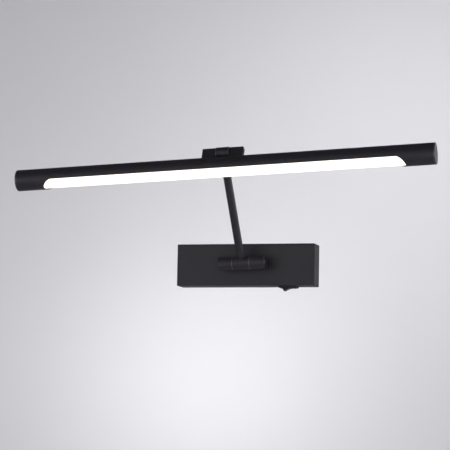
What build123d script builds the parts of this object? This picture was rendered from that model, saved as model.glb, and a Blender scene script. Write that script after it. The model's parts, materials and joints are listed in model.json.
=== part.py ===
from build123d import *
import math
import os

# Wall-mounted picture light: a switched wall housing, a barrel hinge on a swivelling foot, a
# straight hollow arm, a second barrel hinge, and a tubular LED head with an opal window.
#
# Millimetres. +Z is up, the wall is the plane Y = 0 and the light stands out towards -Y.
# The origin is the centre of the housing's back, where it meets the wall.

# ---- wall housing ----
HOUSING_L = 162.0
HOUSING_H = 48.0
HOUSING_D = 25.0
COVER_T = 1.2
COVER_EDGE_R = 0.9
PLATE_T = 1.5
PLATE_GAP = 0.4
WALL_SCREW_SPACING = 140.0
WALL_SCREW_R = 2.5
COVER_SCREW_X = 50.0
COVER_SCREW_Y = -8.0
TAB_W = 14.0
TAB_DEPTH = 12.0
INLET_R = 4.0
INLET_X = 8.0
INLET_Z = -14.0
GROMMET_WALL = 1.0
GROMMET_FLANGE_T = 1.8

# ---- small screws ----
M3_R = 1.5
M3_HEAD_R = 2.8
M3_HEAD_H = 1.8
CSK_R = 2.7
CSK_H = 1.15
THREAD_GAP = 0.05

# ---- driver, terminal block, earth ----
DRIVER_X = (-62.0, -17.0)
DRIVER_H = 32.0
DRIVER_D = 18.0
DRIVER_WALL = 1.5
BOARD_T = 1.6
BLOCK_X = (17.0, 33.0)
BLOCK_H = 28.0
BLOCK_D = 12.5
POLE_PITCH = 9.0
EARTH_X = 64.0
EARTH_Z = 8.0
WIRE_D = 1.8
LEAD_D = 2.4

# ---- rocker switch, standing in the housing's underside ----
SWITCH_X = 48.5
SWITCH_Y = -13.0
BEZEL_L = 21.0
BEZEL_W = 15.0
BEZEL_T = 2.0
SWITCH_BODY_L = 19.0
SWITCH_BODY_W = 13.0
SWITCH_BODY_H = 13.0
ROCKER_L = 16.4
ROCKER_W = 10.0
ROCKER_PIVOT_Z = 2.5
ROCKER_TILT = 14.0
SWITCH_TAB_H = 8.0

# ---- barrel hinges ----
BARREL_R = 7.7
UPPER_BARREL_R = 6.5
BARREL_Y = -41.5
LOWER_MID_L = 19.4
LOWER_SIDE_L = 17.0
UPPER_MID_L = 13.4
WASHER_T = 0.5
SIDE_GAP = 0.05
LOWER_PIVOT_R = 4.0
UPPER_PIVOT_R = 2.5
PIVOT_CLEARANCE = 0.05
YOKE_H = 10.0
BRIDGE_Y = (9.0, 13.5)
FOOT_R = 5.9
FOOT_TOP = 15.9
STEM_R = 4.0
STEM_END = 26.0
STEM_BORE_R = 2.2
SWIVEL_DEG = 2.6

# ---- arm ----
ARM_L = 136.2
ARM_TILT = 32.0
ROD_R = 4.5
ROD_WALL = 1.2
ROD_SEAT = 4.2

# ---- head ----
HEAD_OFFSET = 20.0
HEAD_TILT = 28.0
WINDOW_TURN = 7.0
TUBE_R = 12.0
TUBE_WALL = 1.2
TUBE_L = 472.0
CAP_T = 2.0
CAP_PLUG = 6.0
WINDOW_L = 411.0
WINDOW_R = 10.3
DIFFUSER_L = 440.0
DIFFUSER_T = 1.4
DIFFUSER_HALF_DEG = 94.0
CARRIER_L = 440.0
CHIP_PITCH = 8.0
CHIP_COUNT = 50
LUG_L = 16.0
LUG_T = 6.5
LUG_RISE = 5.2

FRONT_Y = -HOUSING_D
COVER_IN_Y = FRONT_Y + COVER_T
FLOOR_Z = -HOUSING_H / 2
PLATE_L = HOUSING_L - 2 * (COVER_T + PLATE_GAP)
PLATE_H = HOUSING_H - 2 * (COVER_T + PLATE_GAP)
TUBE_IN_R = TUBE_R - TUBE_WALL
LOWER_SIDE_X = LOWER_MID_L / 2 + WASHER_T + 2 * SIDE_GAP
UPPER_SIDE_X = UPPER_MID_L / 2 + WASHER_T + 2 * SIDE_GAP

# Frames: the swivelling foot, the arm (rod along local +Z), the head (hinge to local +Z of the
# tube's centre) and the tube, turned a little in its seat (window to local -Z).
FOOT = Pos(0, BARREL_Y, 0) * Rot(0, -SWIVEL_DEG, 0)
ARM = FOOT * Rot(ARM_TILT, 0, 0)
HEAD = ARM * Pos(0, 0, ARM_L) * Rot(-ARM_TILT - HEAD_TILT, 0, 0)
SEAT = HEAD * Pos(0, 0, -HEAD_OFFSET)
TUBE = SEAT * Rot(WINDOW_TURN, 0, 0)
SWITCH = Pos(SWITCH_X, SWITCH_Y, FLOOR_Z)

MIN_ALIGN = (Align.CENTER, Align.CENTER, Align.MIN)
MAX_ALIGN = (Align.CENTER, Align.CENTER, Align.MAX)


def block(x, y, z):
    """A box between two limits on each axis."""
    size = [high - low for low, high in (x, y, z)]
    middle = [(high + low) / 2 for low, high in (x, y, z)]
    return Pos(*middle) * Box(*size)


def bar_x(radius, x0, x1, y=0.0, z=0.0):
    return Pos(x0, y, z) * Rot(0, 90, 0) * Cylinder(radius, x1 - x0, align=MIN_ALIGN)


def bar_y(radius, y0, y1, x=0.0, z=0.0):
    return Pos(x, y0, z) * Rot(-90, 0, 0) * Cylinder(radius, y1 - y0, align=MIN_ALIGN)


def bar_z(radius, z0, z1, x=0.0, y=0.0):
    return Pos(x, y, z0) * Cylinder(radius, z1 - z0, align=MIN_ALIGN)


def both(make):
    """The same piece on the +X and the -X side."""
    return [make(), Rot(0, 0, 180) * make()]


def pan_screw(radius, length, head_r, head_h):
    """Pan-head screw standing on Z = 0: head above, shank below, cross recess in the head."""
    head = bar_z(head_r, 0, head_h)
    head = fillet(head.edges().group_by(Axis.Z)[-1], head_h * 0.45)
    slot_w = head_r * 0.28
    reach = head_r * 0.62
    cross = Box(2 * reach, slot_w, head_h) + Box(slot_w, 2 * reach, head_h)
    return head + bar_z(radius, -length, 0) - Pos(0, 0, head_h) * cross


def wire(points, diameter, largest_bend=20.0):
    """Round wire along straight runs joined by tangent arcs as large as the runs allow."""
    radii = []
    for before, corner, after in zip(points, points[1:], points[2:]):
        into = Vector(*corner) - Vector(*before)
        out = Vector(*after) - Vector(*corner)
        turn = math.radians(into.get_angle(out))
        radii.append(min(largest_bend, 0.45 * min(into.length, out.length) / math.tan(turn / 2)))
    path = FilletPolyline(*points, radius=radii)
    return sweep(Plane(path @ 0, z_dir=path % 0) * Circle(diameter / 2), path)


def save(name, frame, *shapes):
    """Writes one node: its solids, placed from their own frame into the part's frame."""
    solids = [s for shape in shapes for s in (frame * shape).solids()]
    export_step(Compound(children=solids) if len(solids) > 1 else solids[0], f"parts/{name}.step")


# ------------------------------------------------------------------ wall housing


def base_plate():
    plate = block((-PLATE_L / 2, PLATE_L / 2), (-PLATE_T, 0), (-PLATE_H / 2, PLATE_H / 2))
    top = PLATE_H / 2
    for x in (-COVER_SCREW_X, COVER_SCREW_X):
        tab_x = (x - TAB_W / 2, x + TAB_W / 2)
        plate += block(tab_x, (-PLATE_T - TAB_DEPTH, -PLATE_T), (top - PLATE_T, top))
        plate -= bar_z(M3_R + THREAD_GAP, top - 3, top + 3, x, COVER_SCREW_Y)
    for x in (-WALL_SCREW_SPACING / 2, WALL_SCREW_SPACING / 2):
        plate -= bar_y(WALL_SCREW_R, -3, 1, x)
    plate -= bar_y(INLET_R + GROMMET_WALL, -3, 1, INLET_X, INLET_Z)
    plate -= bar_y(M3_R + THREAD_GAP, -3, 1, EARTH_X, EARTH_Z)
    for x, z in driver_screw_places():
        plate -= bar_y(M3_R + THREAD_GAP, -3, 1, x, z)
    return plate


def front_cover():
    shell = block((-HOUSING_L / 2, HOUSING_L / 2), (FRONT_Y, 0), (-HOUSING_H / 2, HOUSING_H / 2))
    outer_edges = shell.edges().filter_by(Axis.Y) + shell.faces().sort_by(Axis.Y)[0].edges()
    shell = fillet(outer_edges, COVER_EDGE_R)
    shell -= block(
        (-HOUSING_L / 2 + COVER_T, HOUSING_L / 2 - COVER_T),
        (COVER_IN_Y, 1),
        (-HOUSING_H / 2 + COVER_T, HOUSING_H / 2 - COVER_T),
    )
    shell -= bar_y(STEM_R + PIVOT_CLEARANCE, FRONT_Y - 1, COVER_IN_Y + 1)
    cutout = Box(SWITCH_BODY_L + 0.4, SWITCH_BODY_W + 0.4, 6 * COVER_T)
    shell -= SWITCH * cutout
    sink = Cone(M3_R + THREAD_GAP, CSK_R + THREAD_GAP, CSK_H, align=MAX_ALIGN)
    for x in (-COVER_SCREW_X, COVER_SCREW_X):
        shell -= Pos(x, COVER_SCREW_Y, HOUSING_H / 2) * sink
        shell -= bar_z(M3_R + THREAD_GAP, HOUSING_H / 2 - 3, HOUSING_H / 2, x, COVER_SCREW_Y)
    return shell


def cover_screws():
    """Countersunk screws, flush with the housing's top."""
    cone = Cone(M3_R, CSK_R, CSK_H, align=MAX_ALIGN)
    slot = Box(3.0, 0.6, 1.2) + Box(0.6, 3.0, 1.2)
    screw = cone + bar_z(M3_R, -6.0, -CSK_H) - slot
    return [Pos(x, COVER_SCREW_Y, HOUSING_H / 2) * screw for x in (-COVER_SCREW_X, COVER_SCREW_X)]


def cable_grommet():
    """Snap bush through the plate: its collar is inside, and its sleeve is flush with the back."""
    sleeve = bar_y(INLET_R + GROMMET_WALL, -PLATE_T, 0)
    collar = bar_y(INLET_R + 2.5, -PLATE_T - GROMMET_FLANGE_T, -PLATE_T)
    collar = fillet(collar.edges().group_by(Axis.Y)[0], 0.7)
    return Pos(INLET_X, 0, INLET_Z) * (sleeve + collar - bar_y(INLET_R, -PLATE_T - 3, 1))


def driver_screw_places():
    """The driver's two fixing ears stand at opposite corners."""
    return ((DRIVER_X[0] - 3.0, 10.0), (DRIVER_X[1] + 3.0, -10.0))


def driver_parts():
    """Case open at the front, its lid, the board inside, and the parts soldered to it."""
    y_back, y_front = -PLATE_T, -PLATE_T - DRIVER_D
    half = DRIVER_H / 2
    lid_t = DRIVER_WALL
    case = block(DRIVER_X, (y_front + lid_t, y_back), (-half, half))
    case = fillet(case.edges().filter_by(Axis.Y), 2.0)
    for x, z in driver_screw_places():
        reach = (x - 3.0, DRIVER_X[0] + 1) if x < DRIVER_X[0] else (DRIVER_X[1] - 1, x + 3.0)
        case += block(reach, (y_back - 1.5, y_back), (z - 4, z + 4))
        case -= bar_y(M3_R + 0.15, y_back - 3, y_back + 1, x, z)
    room_x = (DRIVER_X[0] + DRIVER_WALL, DRIVER_X[1] - DRIVER_WALL)
    room_z = (-half + DRIVER_WALL, half - DRIVER_WALL)
    case -= block(room_x, (y_front, y_back - DRIVER_WALL), room_z)
    lid = block(DRIVER_X, (y_front, y_front + lid_t), (-half, half))
    lid = fillet(lid.edges().filter_by(Axis.Y), 2.0)
    lid = fillet(lid.edges().group_by(Axis.Y)[0], 0.5)
    board_y = (y_back - DRIVER_WALL - 2.5, y_back - DRIVER_WALL - 2.5 + BOARD_T)
    board = block(
        (room_x[0] + 0.4, room_x[1] - 0.4), board_y, (room_z[0] + 0.4, room_z[1] - 0.4)
    )
    top = board_y[0]
    parts = [
        block((-45, -33), (top - 9, top), (-7, 7)),
        bar_y(4.0, top - 10, top, -54, 6),
        bar_y(2.5, top - 8, top, -55, -6),
        bar_y(3.0, top - 9, top, -25, 8),
        block((-29, -21), (top - 5, top), (-9, -3)),
    ]
    return case, lid, board, parts


def driver_screws():
    screw = Rot(90, 0, 0) * pan_screw(M3_R, 2.9, M3_HEAD_R - 0.3, 1.5)
    return [Pos(x, -PLATE_T - 1.5, z) * screw for x, z in driver_screw_places()]


def pole_heights():
    return [POLE_PITCH * k for k in (-1, 0, 1)]


def terminal_block():
    y = (-PLATE_T - BLOCK_D, -PLATE_T)
    body = block(BLOCK_X, y, (-BLOCK_H / 2, BLOCK_H / 2))
    body = fillet(body.edges().filter_by(Axis.X), 0.8)
    for z in pole_heights():
        for x in (BLOCK_X[0] + 4, BLOCK_X[1] - 4):
            body -= bar_y(2.0, y[0] - 1, y[0] + 6, x, z)
    for z in (-POLE_PITCH / 2, POLE_PITCH / 2):
        body -= block((BLOCK_X[0] - 1, BLOCK_X[1] + 1), (y[0] - 1, y[0] + 3), (z - 0.7, z + 0.7))
    return body


def terminal_screws():
    seat = -PLATE_T - BLOCK_D + 6
    screw = bar_y(1.7, seat - 2.5, seat) - block((-2, 2), (seat - 3, seat - 1.7), (-0.3, 0.3))
    return [Pos(x, 0, z) * screw for z in pole_heights() for x in (BLOCK_X[0] + 4, BLOCK_X[1] - 4)]


def earth_terminal():
    """Screw in the plate, clamping the ring on the end of the earth wire."""
    screw = Rot(90, 0, 0) * pan_screw(M3_R, 2.3, M3_HEAD_R, M3_HEAD_H)
    screw = Pos(EARTH_X, -PLATE_T - 0.9, EARTH_Z) * screw
    ring = bar_y(3.4, -PLATE_T - 0.8, -PLATE_T, EARTH_X, EARTH_Z)
    ring -= bar_y(M3_R + 0.1, -4, 1, EARTH_X, EARTH_Z)
    return screw, ring


def housing_wires():
    """Live in, switched live and neutral, each leaving its terminal square to it."""
    block_x = BLOCK_X[1]
    driver_x = DRIVER_X[1]
    tabs_x = (SWITCH_X - 4, SWITCH_X + 4)
    tab_top = FLOOR_Z + SWITCH_BODY_H + SWITCH_TAB_H
    live = [(block_x, -8, 0), (39, -8, 0), (tabs_x[0], SWITCH_Y, 7), (tabs_x[0], SWITCH_Y, tab_top)]
    switched = [
        (tabs_x[1], SWITCH_Y, tab_top),
        (tabs_x[1], SWITCH_Y, 8),
        (44, -13, 18),
        (12, -12, 19),
        (-5, -11, 15),
        (-11, -11, 10),
        (driver_x, -11, 10),
    ]
    neutral = [
        (block_x, -7, POLE_PITCH),
        (38.5, -7, POLE_PITCH),
        (38.5, -7, 18),
        (12, -6.5, 19),
        (-4, -6, 16),
        (-11, -6, 12),
        (driver_x, -6, 12),
    ]
    return [wire(run, WIRE_D) for run in (live, switched, neutral)]


def earth_wire():
    run = [(BLOCK_X[1], -4.5, -POLE_PITCH), (38, -4.5, -POLE_PITCH), (51, -4, 0), (60.6, -2.6, 5)]
    return wire(run, WIRE_D)


def housing_lead():
    """Low-voltage lead from the driver to the mouth of the hollow stem."""
    mouth = BARREL_Y + STEM_END
    run = [(DRIVER_X[1], -9, -5), (-9, -9, -5), (-3, -6, -2), (0, -7, 0), (0, mouth + 0.1, 0)]
    return wire(run, LEAD_D)


# ------------------------------------------------------------------ rocker switch


def switch_housing():
    bezel = block((-BEZEL_L / 2, BEZEL_L / 2), (-BEZEL_W / 2, BEZEL_W / 2), (-BEZEL_T, 0))
    bezel = fillet(bezel.edges().filter_by(Axis.Z), 1.0)
    bezel = fillet(bezel.edges().group_by(Axis.Z)[0], 0.6)
    body = Box(SWITCH_BODY_L, SWITCH_BODY_W, SWITCH_BODY_H, align=MIN_ALIGN)
    room = (ROCKER_L / 2, ROCKER_W / 2 + 0.2)
    body = bezel + body - block((-room[0], room[0]), (-room[1], room[1]), (-BEZEL_T - 1, 8.0))
    return body - bar_y(1.05, -6.1, 6.1, 0, ROCKER_PIVOT_Z)


def switch_terminals():
    tab = Box(0.8, 4.8, SWITCH_TAB_H, align=MIN_ALIGN) - bar_x(0.8, -1, 1, 0, 5)
    return [Pos(x, 0, SWITCH_BODY_H) * tab for x in (-4, 4)]


def switch_rocker():
    """Concave rocker on two side pins, drawn level and then tipped with its -X end out."""
    level = ROCKER_PIVOT_Z
    side = [(-5.0, level + 2.6), (-7.7, level), (-7.4, -0.3), (-6.5, -4.5)]
    mirrored = [(-x, z) for x, z in reversed(side)]
    outline = Polyline(*mirrored, *side)
    thumb = ThreePointArc(side[-1], (0, -3.0), mirrored[0])
    body = extrude(Plane.XZ * make_face(outline + thumb), amount=ROCKER_W / 2, both=True)
    body = fillet(body.edges().filter_by(Axis.Y).group_by(Axis.Z)[0], 0.5)
    body += bar_y(1.0, -5.9, 5.9, 0, level)
    return Pos(0, 0, level) * Rot(0, -ROCKER_TILT, 0) * Pos(0, 0, -level) * body


# ------------------------------------------------------------------ foot and lower hinge


def hinge_yoke():
    """Two outer barrels on webs, a bridge behind them, a round foot and a hollow threaded stem."""
    outer_x = LOWER_SIDE_X + LOWER_SIDE_L

    def side():
        barrel = bar_x(BARREL_R, LOWER_SIDE_X, outer_x)
        barrel = chamfer(barrel.edges().filter_by(GeomType.CIRCLE).group_by(Axis.X)[-1], 0.5)
        web = block((LOWER_SIDE_X, outer_x), (0, BRIDGE_Y[1]), (-YOKE_H / 2, YOKE_H / 2))
        counterbore = bar_x(4.7, outer_x - 2.6, outer_x + 1)
        return barrel + web - counterbore - bar_x(LOWER_PIVOT_R, LOWER_SIDE_X - 1, outer_x)

    yoke = side() + mirror(side(), Plane.YZ)
    yoke += block((-outer_x, outer_x), BRIDGE_Y, (-YOKE_H / 2, YOKE_H / 2))
    corners = yoke.edges().filter_by(Axis.X).group_by(Axis.Y)[-1]
    yoke = fillet(corners, 1.0)
    yoke += bar_y(FOOT_R, BRIDGE_Y[1], FOOT_TOP)
    yoke += bar_y(STEM_R, FOOT_TOP, STEM_END)
    lead_y = sum(BRIDGE_Y) / 2
    yoke -= bar_y(STEM_BORE_R, lead_y - 1.7, STEM_END + 1)
    yoke -= bar_x(1.7, -1.7, 15, lead_y)
    yoke -= bar_y(2.2, 2, lead_y, 14)
    return yoke


def foot_washer():
    gap = -BARREL_Y + FRONT_Y
    return bar_y(FOOT_R, FOOT_TOP + 0.02, gap - 0.05) - bar_y(STEM_R + 0.1, FOOT_TOP - 1, gap + 1)


def stem_hardware():
    """Spring washer and hex nut that hold the stem in the cover, inside the housing."""
    inner = -BARREL_Y + COVER_IN_Y
    washer = bar_y(7.5, inner + 0.05, inner + 1.05) - bar_y(STEM_R + 0.1, inner - 1, inner + 2)
    nut = Pos(0, inner + 1.1, 0) * Rot(-90, 0, 0) * extrude(RegularPolygon(7.5, 6), amount=3.5)
    nut -= bar_y(STEM_R + THREAD_GAP, inner, inner + 6)
    return washer, nut


def lower_pivots():
    """Hollow pivot sleeves pressed into the outer barrels; a side window passes the lead."""

    def sleeve():
        return bar_x(LOWER_PIVOT_R, 5.0, 23.0) - bar_x(2.2, 4.0, 24.0) - bar_y(2.2, 0, 6, 14)

    return both(sleeve)


def barrel_end_screws():
    """Hex-socket screws in the ends of the outer barrels, drawing the pivots up."""
    outer_x = LOWER_SIDE_X + LOWER_SIDE_L

    def screw():
        head = bar_x(4.3, outer_x - 2.5, outer_x - 0.7)
        head = chamfer(head.edges().filter_by(GeomType.CIRCLE).group_by(Axis.X)[-1], 0.4)
        socket = Pos(outer_x - 2.0, 0, 0) * Rot(0, 90, 0) * extrude(RegularPolygon(2.2, 6), amount=3)
        return head + bar_x(2.15, 18.0, outer_x - 2.5) - socket

    return both(screw)


def ring_pair(x0, outer_r, inner_r):
    """Thin friction washers on both sides of a middle barrel."""

    def ring():
        return bar_x(outer_r, x0, x0 + WASHER_T) - bar_x(inner_r, x0 - 1, x0 + 2)

    return both(ring)


def yoke_lead():
    """From the stem through the bridge and into the hollow +X pivot, ending on the hinge axis."""
    lead_y = sum(BRIDGE_Y) / 2
    run = [(0, STEM_END, 0), (0, lead_y, 0), (14, lead_y, 0), (14, 0, 0), (5.1, 0, 0)]
    return wire(run, LEAD_D, 2.0)


# ------------------------------------------------------------------ arm


def middle_barrel(length, radius, pivot_r):
    """Barrel along X: a bore for the pivots, a socket for the rod, a passage between them."""
    barrel = bar_x(radius, -length / 2, length / 2)
    barrel -= bar_x(pivot_r + PIVOT_CLEARANCE, -length, length)
    barrel -= bar_z(ROD_R - ROD_WALL, 0, ROD_SEAT)
    return barrel - bar_z(ROD_R + 0.02, ROD_SEAT - 0.1, radius + 1)


def arm_rod():
    length = (ROD_SEAT, ARM_L - ROD_SEAT)
    return bar_z(ROD_R, *length) - bar_z(ROD_R - ROD_WALL, length[0] - 1, length[1] + 1)


def arm_lead():
    """From the lower hinge axis up the rod to the upper hinge axis."""
    return wire([(4.9, 0, 0), (0, 0, 0), (0, 0, ARM_L), (2.9, 0, ARM_L)], LEAD_D, 1.3)


# ------------------------------------------------------------------ head


def hinge_lug():
    """Square lug on the +X side of the upper barrel, seated on the lamp tube."""
    x = (UPPER_SIDE_X, UPPER_SIDE_X + LUG_L)
    lug = block(x, (-LUG_T / 2, LUG_T / 2), (-HEAD_OFFSET + TUBE_R - 1.5, LUG_RISE))
    lug = fillet(lug.edges().filter_by(Axis.X).group_by(Axis.Z)[-1], 0.5)
    lug -= bar_x(TUBE_R, x[0] - 1, x[1] + 1, 0, -HEAD_OFFSET)
    lug -= bar_x(UPPER_PIVOT_R, x[0] - 1, x[0] + 9)
    lug -= bar_x(2.05, x[0] + 8, x[1] + 1)
    lug -= bar_z(1.7, -HEAD_OFFSET, 0, 12)
    return lug - bar_z(M3_R, -HEAD_OFFSET, -3.2, 19)


def lug_fixings():
    """Screws from inside the tube into the lugs."""
    head_r = 2.5
    seat = -HEAD_OFFSET + math.sqrt(TUBE_IN_R**2 - head_r**2)
    screw = Pos(19, 0, seat) * Rot(180, 0, 0) * pan_screw(M3_R - THREAD_GAP, 6.0, head_r, 1.4)
    return both(lambda: screw)


def upper_pivots():
    def sleeve():
        return bar_x(UPPER_PIVOT_R, 3.0, UPPER_SIDE_X + 8.9) - bar_x(1.4, 2, 20) - bar_z(1.4, -4, 0, 12)

    return both(sleeve)


def lug_end_screws():
    """Grub screws that close the lugs' ends."""
    end = UPPER_SIDE_X + LUG_L

    def grub():
        body = bar_x(2.0, end - 4.6, end - 0.6)
        return body - Pos(end - 2.2, 0, 0) * Rot(0, 90, 0) * extrude(RegularPolygon(1.1, 6), amount=3)

    return both(grub)


def in_tube(x, z):
    """A point in the plane of the hinge and the tube, x along the tube and z from its centre."""
    turn = math.radians(WINDOW_TURN)
    return (x, z * math.sin(turn), z * math.cos(turn))


def lamp_tube():
    """Round tube with one long window, milled straight through the wall with full-round ends."""
    tube = bar_x(TUBE_R, -TUBE_L / 2, TUBE_L / 2) - bar_x(TUBE_IN_R, -TUBE_L, TUBE_L)
    tube -= extrude(SlotOverall(WINDOW_L, 2 * WINDOW_R), amount=-TUBE_R - 1)
    lug_side = Rot(-WINDOW_TURN, 0, 0)
    for x in (-19, 19):
        tube -= lug_side * bar_z(M3_R, 0, TUBE_R + 1, x)
    return tube - lug_side * bar_z(1.7, 0, TUBE_R + 1, 12)


def end_cap():
    """Disc flush with the tube, with a plug inside it."""
    cap = bar_x(TUBE_R, TUBE_L / 2, TUBE_L / 2 + CAP_T)
    cap = chamfer(cap.edges().filter_by(GeomType.CIRCLE).group_by(Axis.X)[-1], 0.4)
    plug = bar_x(TUBE_IN_R - 0.1, TUBE_L / 2 - CAP_PLUG, TUBE_L / 2)
    return cap + plug - bar_x(TUBE_IN_R - 1.6, TUBE_L / 2 - CAP_PLUG - 1, TUBE_L / 2)


def diffuser():
    """Opal half-tube behind the window, resting on the tube's inner wall."""
    outer = TUBE_IN_R - 0.1
    ring = Circle(outer) - Circle(outer - DIFFUSER_T)
    spread = math.radians(DIFFUSER_HALF_DEG)
    far = 3 * outer
    corner = (far * math.sin(spread), -far * math.cos(spread))
    lower = [(0, 0), corner, (far, -far), (-far, -far), (-corner[0], corner[1])]
    profile = Plane.YZ * (ring & make_face(Polyline(*lower, close=True)))
    return extrude(profile, amount=DIFFUSER_L / 2, both=True)


def led_carrier():
    """Aluminium channel across the tube: a floor for the board and two stiffening webs."""
    half = CARRIER_L / 2
    floor = block((-half, half), (-10.3, 10.3), (1.0, 2.4))
    webs = [block((-half, half), (y - 0.6, y + 0.6), (2.4, 7.0)) for y in (-7.2, 7.2)]
    carrier = floor + webs[0] + webs[1] - bar_z(2.0, 0, 3, 30)
    for x in board_screw_places():
        carrier -= bar_z(1.05, 0, 3, x)
    return carrier


def board_screw_places():
    return [k * 12 * CHIP_PITCH for k in (-2, -1, 1, 2)]


def led_board():
    half = WINDOW_L / 2 + 5
    board = block((-half, half), (-6.0, 6.0), (0.0, 1.0))
    for x in board_screw_places():
        board -= bar_z(1.2, -1, 2, x)
    return board


def led_chips():
    first = -(CHIP_COUNT - 1) / 2 * CHIP_PITCH
    return [Pos(first + k * CHIP_PITCH, 0, -0.4) * Box(2.8, 3.5, 0.8) for k in range(CHIP_COUNT)]


def board_screws():
    screw = Rot(180, 0, 0) * pan_screw(1.0, 3.2, 1.9, 1.2)
    return [Pos(x, 0, 0) * screw for x in board_screw_places()]


def head_lead():
    """From the upper hinge axis down the +X lug, along the channel and through it to the board."""
    run = [
        in_tube(3.1, HEAD_OFFSET),
        in_tube(12, HEAD_OFFSET),
        in_tube(12, 5.5),
        (30, 0, 5.5),
        (30, 0, 1.0),
    ]
    return wire(run, WIRE_D, 1.6)


def main():
    os.makedirs("parts", exist_ok=True)
    here = Pos(0, 0, 0)

    save("base_plate", here, base_plate())
    save("front_cover", here, front_cover())
    save("cover_screws", here, *cover_screws())
    save("cable_grommet", here, cable_grommet())
    case, lid, board, soldered = driver_parts()
    save("driver_case", here, case)
    save("driver_lid", here, lid)
    save("driver_board", here, board)
    save("driver_components", here, *soldered)
    save("driver_screws", here, *driver_screws())
    save("terminal_block", here, terminal_block())
    save("terminal_screws", here, *terminal_screws())
    screw, ring = earth_terminal()
    save("earth_screw", here, screw)
    save("earth_ring", here, ring)
    save("earth_wire", here, earth_wire())
    save("mains_wires", here, *housing_wires())
    save("housing_lead", here, housing_lead())
    save("switch_housing", SWITCH, switch_housing())
    save("switch_terminals", SWITCH, *switch_terminals())
    save("switch_rocker", SWITCH, switch_rocker())

    save("hinge_yoke", FOOT, hinge_yoke())
    save("foot_washer", FOOT, foot_washer())
    washer, nut = stem_hardware()
    save("stem_spring_washer", FOOT, washer)
    save("stem_nut", FOOT, nut)
    save("lower_pivots", FOOT, *lower_pivots())
    save("barrel_end_screws", FOOT, *barrel_end_screws())
    lower_washer_x = LOWER_MID_L / 2 + SIDE_GAP
    save("lower_hinge_washers", FOOT, *ring_pair(lower_washer_x, BARREL_R, LOWER_PIVOT_R + 0.1))
    save("yoke_lead", FOOT, yoke_lead())

    save("lower_barrel", ARM, middle_barrel(LOWER_MID_L, BARREL_R, LOWER_PIVOT_R))
    save("arm_rod", ARM, arm_rod())
    upper = Pos(0, 0, ARM_L) * Rot(180, 0, 0) * middle_barrel(UPPER_MID_L, UPPER_BARREL_R, UPPER_PIVOT_R)
    save("upper_barrel", ARM, upper)
    save("arm_lead", ARM, arm_lead())

    save("hinge_lug_right", HEAD, hinge_lug())
    save("hinge_lug_left", HEAD, mirror(hinge_lug(), Plane.YZ))
    save("lug_fixing_screws", HEAD, *lug_fixings())
    save("upper_pivots", HEAD, *upper_pivots())
    save("lug_end_screws", HEAD, *lug_end_screws())
    upper_washer_x = UPPER_MID_L / 2 + SIDE_GAP
    save("upper_hinge_washers", HEAD, *ring_pair(upper_washer_x, UPPER_BARREL_R, UPPER_PIVOT_R + 0.1))
    save("lamp_tube", TUBE, lamp_tube())
    save("end_cap_right", TUBE, end_cap())
    save("end_cap_left", TUBE, Rot(0, 0, 180) * end_cap())
    save("diffuser", TUBE, diffuser())
    save("led_carrier", TUBE, led_carrier())
    save("led_board", TUBE, led_board())
    save("led_chips", TUBE, *led_chips())
    save("board_screws", TUBE, *board_screws())
    save("head_lead", TUBE, head_lead())


main()
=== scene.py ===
"""Looks for the wall-mounted picture light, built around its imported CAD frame. Metres, +Z up."""

import json
import math

import bmesh
import bpy
from mathutils import Matrix, Vector

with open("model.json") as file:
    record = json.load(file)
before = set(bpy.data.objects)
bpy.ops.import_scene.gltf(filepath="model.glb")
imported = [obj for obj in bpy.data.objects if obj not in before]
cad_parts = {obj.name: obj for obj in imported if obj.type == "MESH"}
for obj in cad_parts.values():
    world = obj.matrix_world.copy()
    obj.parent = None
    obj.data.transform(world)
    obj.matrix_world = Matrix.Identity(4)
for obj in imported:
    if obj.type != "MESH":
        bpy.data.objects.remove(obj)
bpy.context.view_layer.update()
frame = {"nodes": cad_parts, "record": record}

# ---- camera: below the light, to its right, with a long lens ----
CAMERA_TARGET = Vector((-0.0314, 0.0, 0.0490))
CAMERA_AZIMUTH = math.radians(14.71)
CAMERA_ELEVATION = math.radians(-6.78)
CAMERA_ROLL = math.radians(1.12)
CAMERA_DISTANCE = 2.2472
CAMERA_LENS = 154.5
CAMERA_SENSOR = 36.0
CAMERA_REACH = 50.0


def add_camera():
    """A long lens that looks at the target from the azimuth (from -Y towards +X) and elevation."""
    flat = math.cos(CAMERA_ELEVATION)
    x = flat * math.sin(CAMERA_AZIMUTH)
    y = -flat * math.cos(CAMERA_AZIMUTH)
    away = Vector((x, y, math.sin(CAMERA_ELEVATION)))
    data = bpy.data.cameras.new("camera")
    data.lens = CAMERA_LENS
    data.sensor_width = CAMERA_SENSOR
    data.clip_end = CAMERA_REACH
    camera = bpy.data.objects.new("camera", data)
    look = away.to_track_quat("Z", "Y").to_matrix().to_4x4()
    place = Matrix.Translation(CAMERA_TARGET + away * CAMERA_DISTANCE)
    camera.matrix_world = place @ look @ Matrix.Rotation(CAMERA_ROLL, 4, "Z")
    bpy.context.scene.collection.objects.link(camera)
    bpy.context.scene.camera = camera


# ------------------------------------------------------------------ node helpers


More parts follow.
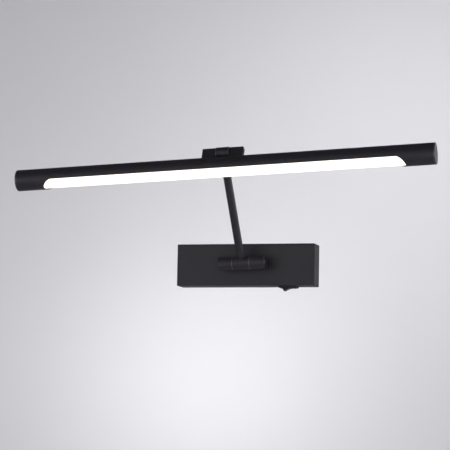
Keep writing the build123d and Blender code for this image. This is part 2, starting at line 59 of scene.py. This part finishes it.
class Shader:
    """A node material that is built one node at a time."""

    def __init__(self, name):
        self.material = bpy.data.materials.new(name)
        self.material.use_nodes = True
        self.tree = self.material.node_tree
        self.surface = self.tree.nodes["Principled BSDF"]
        self.coordinates = self.node("ShaderNodeTexCoord")

    def node(self, kind, **settings):
        made = self.tree.nodes.new(kind)
        for key, value in settings.items():
            setattr(made, key, value)
        return made

    def link(self, output, socket):
        self.tree.links.new(output, socket)

    def set(self, **values):
        names = {
            "color": "Base Color",
            "metallic": "Metallic",
            "roughness": "Roughness",
            "specular": "Specular IOR Level",
            "coat": "Coat Weight",
            "coat_roughness": "Coat Roughness",
            "emission": "Emission Color",
            "emission_strength": "Emission Strength",
        }
        for key, value in values.items():
            if isinstance(value, tuple) and len(value) == 3:
                value = (*value, 1.0)
            self.surface.inputs[names[key]].default_value = value
        return self

    def place(self):
        """Object coordinates, in metres."""
        return self.coordinates.outputs["Object"]

    def stretched(self, scale):
        mapping = self.node("ShaderNodeMapping")
        mapping.inputs["Scale"].default_value = scale
        self.link(self.place(), mapping.inputs["Vector"])
        return mapping.outputs["Vector"]

    def noise(self, scale, detail=2.0, roughness=0.5, vector=None):
        made = self.node("ShaderNodeTexNoise")
        made.inputs["Scale"].default_value = scale
        made.inputs["Detail"].default_value = detail
        made.inputs["Roughness"].default_value = roughness
        self.link(vector or self.place(), made.inputs["Vector"])
        return made.outputs["Fac"]

    def ramp(self, value, low, high, to_low, to_high):
        made = self.node("ShaderNodeMapRange")
        for name, number in (
            ("From Min", low),
            ("From Max", high),
            ("To Min", to_low),
            ("To Max", to_high),
        ):
            made.inputs[name].default_value = number
        self.link(value, made.inputs["Value"])
        return made.outputs["Result"]

    def mix(self, factor, first, second):
        made = self.node("ShaderNodeMix", data_type="RGBA")
        self.link(factor, made.inputs["Factor"])
        for socket, value in (("A", first), ("B", second)):
            slot = [s for s in made.inputs if s.name == socket and s.type == "RGBA"][0]
            if isinstance(value, tuple):
                slot.default_value = (*value, 1.0)
            else:
                self.link(value, slot)
        return [s for s in made.outputs if s.type == "RGBA"][0]

    def bump(self, height, distance, strength=1.0):
        made = self.node("ShaderNodeBump")
        made.inputs["Strength"].default_value = strength
        made.inputs["Distance"].default_value = distance
        self.link(height, made.inputs["Height"])
        if self.surface.inputs["Normal"].is_linked:
            self.link(self.surface.inputs["Normal"].links[0].from_socket, made.inputs["Normal"])
        self.link(made.outputs["Normal"], self.surface.inputs["Normal"])

    def to(self, output, socket):
        self.link(output, self.surface.inputs[socket])


# ------------------------------------------------------------------ materials


def powder_coat():
    """Matte black powder coat: a fine orange-peel skin over bent and turned metal."""
    s = Shader("black_powder_coat").set(metallic=0.0, specular=0.42)
    grain = s.noise(2600, 3.0, 0.6)
    cloud = s.noise(22, 3.0)
    fleck = s.noise(900, 1.0)
    tone = s.mix(s.ramp(cloud, 0.3, 0.7, 0, 1), (0.0166, 0.0143, 0.0200), (0.0196, 0.0170, 0.0230))
    s.to(s.mix(s.ramp(fleck, 0.62, 0.8, 0, 0.6), tone, (0.030, 0.027, 0.034)), "Base Color")
    s.to(s.ramp(grain, 0.3, 0.7, 0.46, 0.60), "Roughness")
    s.bump(grain, 0.00003)
    return s.material


def cap_lacquer_painted_sheen():
    """The end caps: a smooth black lacquer, black round the rim, with a painted reflection that
    makes the flat face paler.
    """
    s = Shader("black_cap_lacquer").set(metallic=0.0, specular=0.85)
    cloud = s.noise(60, 2.0)
    grain = s.noise(2200, 2.0)
    split = s.node("ShaderNodeSeparateXYZ")
    s.link(s.coordinates.outputs["Normal"], split.inputs["Vector"])
    facing = s.node("ShaderNodeMath", operation="ABSOLUTE")
    s.link(split.outputs["X"], facing.inputs[0])
    # This mask picks the flat end faces, which carry the painted reflection.
    face = s.ramp(facing.outputs["Value"], 0.85, 0.95, 0, 1)
    rim = s.mix(s.ramp(cloud, 0.3, 0.7, 0, 1), (0.0125, 0.0120, 0.0130), (0.0150, 0.0145, 0.0160))
    # The flat face's paler colour is a painted reflection; the cap itself is black like its rim.
    flat = s.mix(s.ramp(cloud, 0.3, 0.7, 0, 1), (0.074, 0.064, 0.074), (0.088, 0.076, 0.088))
    s.to(s.mix(face, rim, flat), "Base Color")
    s.to(s.ramp(grain, 0.3, 0.7, 0.34, 0.44), "Roughness")
    s.bump(grain, 0.00001)
    return s.material


def lit_opal():
    """Opal acrylic lit from behind by warm white chips, just bright enough to burn out."""
    s = Shader("opal_lit").set(color=(0.92, 0.92, 0.90), roughness=0.35, emission_strength=1.3)
    haze = s.noise(9, 2.0, vector=s.stretched((6, 1, 1)))
    s.to(s.mix(haze, (1.0, 0.92, 0.79), (1.0, 0.94, 0.83)), "Emission Color")
    s.bump(s.noise(1800, 2.0), 0.000004)
    return s.material


def metal(name, color, roughness, streak=(900, 900, 900), wear=0.15):
    """Bare or plated metal with fine directional streaks and faint stains."""
    s = Shader(name).set(metallic=1.0)
    lines = s.noise(1.0, 3.0, 0.65, s.stretched(streak))
    stain = s.noise(70, 3.0)
    dull = tuple(c * (1 - wear) for c in color)
    s.to(s.mix(s.ramp(stain, 0.3, 0.7, 0, 1), color, dull), "Base Color")
    s.to(s.ramp(lines, 0.25, 0.75, roughness * 0.8, roughness * 1.25), "Roughness")
    s.bump(lines, 0.000004)
    return s.material


def plastic(name, dark, light, roughness, grain_scale=1800, grain=0.000008, specular=0.5):
    """Moulded plastic with a fine spark-eroded grain and faint flow marks."""
    s = Shader(name).set(specular=specular)
    flow = s.noise(45, 3.0)
    spark = s.noise(grain_scale, 2.0)
    s.to(s.mix(s.ramp(flow, 0.3, 0.7, 0, 1), dark, light), "Base Color")
    s.to(s.ramp(spark, 0.3, 0.7, roughness * 0.85, roughness * 1.15), "Roughness")
    s.bump(spark, grain)
    return s.material


def galvanised():
    """Galvanised sheet with its spangle of large flat crystals."""
    s = Shader("galvanised_sheet").set(metallic=1.0)
    spangle = s.node("ShaderNodeTexVoronoi")
    spangle.inputs["Scale"].default_value = 160
    s.link(s.place(), spangle.inputs["Vector"])
    shade = s.ramp(spangle.outputs["Color"], 0, 1, 0, 1)
    s.to(s.mix(shade, (0.47, 0.48, 0.50), (0.66, 0.67, 0.69)), "Base Color")
    s.to(s.ramp(s.noise(600, 3.0), 0.3, 0.7, 0.32, 0.48), "Roughness")
    s.bump(shade, 0.00001)
    return s.material


def circuit_board(name, mask, trace):
    """Solder mask with faint copper tracks beneath it."""
    s = Shader(name).set(roughness=0.3, coat=0.4, coat_roughness=0.2)
    tracks = s.node("ShaderNodeTexBrick")
    tracks.inputs["Scale"].default_value = 320
    tracks.inputs["Mortar Size"].default_value = 0.03
    s.link(s.place(), tracks.inputs["Vector"])
    s.to(s.mix(tracks.outputs["Fac"], mask, trace), "Base Color")
    s.bump(tracks.outputs["Fac"], 0.00002)
    return s.material


def striped_wire():
    """Green insulation with a yellow stripe."""
    s = Shader("earth_insulation").set(roughness=0.35)
    bands = s.node("ShaderNodeTexWave", bands_direction="Z")
    bands.inputs["Scale"].default_value = 260
    s.link(s.place(), bands.inputs["Vector"])
    stripe = s.ramp(bands.outputs["Fac"], 0.55, 0.6, 0, 1)
    s.to(s.mix(stripe, (0.05, 0.24, 0.05), (0.75, 0.6, 0.05)), "Base Color")
    s.bump(s.noise(1500), 0.00001)
    return s.material


def make_materials():
    steel = (0.62, 0.61, 0.59)
    return {
        "black_powder_coat": powder_coat(),
        # The caps' material paints a reflection onto their flat face.
        "cap_lacquer_painted_sheen": cap_lacquer_painted_sheen(),
        "opal_plastic": lit_opal(),
        "black_screw": metal("black_oxide", (0.07, 0.07, 0.075), 0.38),
        "zinc_steel": metal("zinc_plate", (0.72, 0.71, 0.68), 0.28),
        "spring_steel": metal("spring_steel", (0.32, 0.33, 0.36), 0.34),
        "turned_steel": metal("turned_steel", steel, 0.24, (3000, 300, 300)),
        "friction_washer": metal("friction_washer", (0.16, 0.16, 0.18), 0.5),
        "tinned_copper": metal("tinned_copper", (0.74, 0.70, 0.64), 0.30),
        "bare_aluminium": metal("bare_aluminium", (0.76, 0.77, 0.79), 0.34, (60, 2500, 2500)),
        "galvanised_steel": galvanised(),
        "black_rubber": plastic("black_rubber", (0.014, 0.014, 0.014), (0.022, 0.021, 0.021), 0.75),
        "grey_plastic": plastic("driver_plastic", (0.60, 0.60, 0.58), (0.68, 0.68, 0.66), 0.45),
        "white_plastic": plastic("natural_nylon", (0.68, 0.66, 0.58), (0.76, 0.74, 0.67), 0.4),
        "component_plastic": plastic("components", (0.04, 0.045, 0.07), (0.10, 0.09, 0.06), 0.3),
        "black_switch_plastic": plastic(
            "switch_plastic", (0.006, 0.006, 0.007), (0.009, 0.009, 0.010), 0.45, specular=0.25
        ),
        "nylon": plastic("nylon_washer", (0.02, 0.02, 0.021), (0.03, 0.03, 0.031), 0.5),
        "lead_sheath": plastic("lead_sheath", (0.02, 0.02, 0.022), (0.03, 0.03, 0.03), 0.5),
        "wire_insulation": plastic(
            "wire_insulation", (0.12, 0.04, 0.015), (0.18, 0.07, 0.03), 0.35
        ),
        "earth_insulation": striped_wire(),
        "circuit_board": circuit_board("green_board", (0.015, 0.10, 0.03), (0.03, 0.16, 0.05)),
        "white_board": circuit_board("white_board", (0.80, 0.80, 0.78), (0.70, 0.70, 0.68)),
        "led_phosphor": plastic("phosphor", (0.80, 0.60, 0.14), (0.88, 0.70, 0.22), 0.35),
    }


MATERIALS = make_materials()
# Nodes whose finish differs from the one of their record slot; the end caps' material also paints a
# reflection onto their flat face.
OTHER_MATERIAL = {
    "end_cap_left": "cap_lacquer_painted_sheen",
    "end_cap_right": "cap_lacquer_painted_sheen",
}


def dress_nodes():
    """Every CAD node takes the material of its record slot, apart from OTHER_MATERIAL's."""
    for part in frame["record"]["subparts"]:
        mesh = frame["nodes"][part["node"]].data
        mesh.materials.clear()
        mesh.materials.append(MATERIALS[OTHER_MATERIAL.get(part["node"], part["material_slot"])])


# ------------------------------------------------------------------ studio


def lathe(name, profile, steps=96):
    """A surface turned about the vertical axis through the origin."""
    mesh = bpy.data.meshes.new(name)
    bm = bmesh.new()
    rings = []
    for radius, height in profile:
        ring = []
        for k in range(steps):
            angle = 2 * math.pi * k / steps
            ring.append(bm.verts.new((radius * math.cos(angle), radius * math.sin(angle), height)))
        rings.append(ring)
    for low, high in zip(rings, rings[1:]):
        for k in range(steps):
            after = (k + 1) % steps
            bm.faces.new((low[k], low[after], high[after], high[k]))
    for face in bm.faces:
        face.smooth = True
    bm.to_mesh(mesh)
    bm.free()
    made = bpy.data.objects.new(name, mesh)
    bpy.context.scene.collection.objects.link(made)
    return made


STUDIO_R = 5.0
STUDIO_FLOOR = -2.7
STUDIO_TOP = 3.4
COVE_R = 1.5
DOME_RISE = 2.0
AXIS_GAP = 0.001
RING_LAMPS = 6
RING_R = 2.4
RING_Z = -0.1


def add_studio():
    """Floor, cove and wall in one pale surface round the object."""
    arc = []
    for degrees in range(0, 91, 9):
        a = math.radians(degrees)
        radius = STUDIO_R - COVE_R + COVE_R * math.sin(a)
        arc.append((radius, STUDIO_FLOOR + COVE_R - COVE_R * math.cos(a)))
    shell = lathe("studio", [(AXIS_GAP, STUDIO_FLOOR), *arc, (STUDIO_R, STUDIO_TOP)])
    s = Shader("studio_paint").set(roughness=0.95, specular=0.05)
    s.to(s.mix(s.noise(3, 2.0), (0.70, 0.695, 0.72), (0.72, 0.715, 0.74)), "Base Color")
    shell.data.materials.append(s.material)


def add_ceiling():
    """A pale dome that closes the studio for views from below, and lights nothing."""
    arc = []
    for degrees in range(0, 90, 6):
        a = math.radians(degrees)
        arc.append((STUDIO_R * math.cos(a), STUDIO_TOP + DOME_RISE * math.sin(a)))
    dome = lathe("studio_ceiling", [*arc, (AXIS_GAP, STUDIO_TOP + DOME_RISE)])
    s = Shader("ceiling_paint").set(color=(0.0, 0.0, 0.0), specular=0.0, emission_strength=1.0)
    s.to(s.mix(s.noise(0.6, 2.0), (0.44, 0.44, 0.46), (0.50, 0.50, 0.52)), "Emission Color")
    dome.data.materials.append(s.material)
    dome.visible_diffuse = False
    dome.visible_glossy = False
    dome.visible_transmission = False
    dome.visible_shadow = False


def add_area(name, place, aim, size, power):
    data = bpy.data.lights.new(name, "AREA")
    data.shape = "RECTANGLE"
    data.size, data.size_y = size
    data.energy = power
    light = bpy.data.objects.new(name, data)
    turn = (Vector(place) - Vector(aim)).to_track_quat("Z", "Y").to_matrix().to_4x4()
    light.matrix_world = Matrix.Translation(place) @ turn
    bpy.context.scene.collection.objects.link(light)


def add_wall_ring(power):
    """Lamps with their backs to the object, which keep the studio pale on every side."""
    for k in range(RING_LAMPS):
        angle = 2 * math.pi * (k + 0.25) / RING_LAMPS
        x, y = math.cos(angle), math.sin(angle)
        place = (RING_R * x, RING_R * y, RING_Z)
        aim = (STUDIO_R * x, STUDIO_R * y, RING_Z)
        add_area(f"wall_ring_{k}", place, aim, (2.0, 2.6), power)


def add_light():
    """Softboxes from the left front, the right and below, and a faint sky."""
    world = bpy.data.worlds.new("world")
    bpy.context.scene.world = world
    world.use_nodes = True
    background = world.node_tree.nodes["Background"]
    background.inputs["Color"].default_value = (0.97, 0.96, 1.0, 1.0)
    background.inputs["Strength"].default_value = 0.11
    centre = (0, -0.05, 0.05)
    add_area("front_softbox", (-1.3, -2.6, -0.1), centre, (1.6, 1.2), 13)
    add_area("right_softbox", (3.2, 0.6, 0.2), centre, (1.6, 2.2), 50)
    add_area("low_front", (0.3, -1.3, -0.5), centre, (1.2, 0.8), 2.2)
    # The lamps below face the wall behind the object, and the floor.
    add_area("wall_pool", (-1.18, 4.15, 0.04), (-1.34, 4.83, 0.04), (0.5, 0.5), 3.0)
    add_area("wall_glow_right", (-0.35, 3.75, 1.1), (-0.67, 4.95, 1.1), (0.8, 0.8), 8.5)
    add_area("wall_glow_left", (-2.4, 2.6, 0.5), (-2.0, 4.6, 0.6), (1.2, 1.6), 1.5)
    add_area("floor_glow", (0, 0, -1.5), (0, 0, -2.7), (2.0, 2.0), 9)
    add_wall_ring(18)


# ------------------------------------------------------------------ the scene

# A plain display transform keeps the lit window white.
bpy.context.scene.view_settings.view_transform = "Standard"
add_camera()
dress_nodes()
add_studio()
add_ceiling()
add_light()
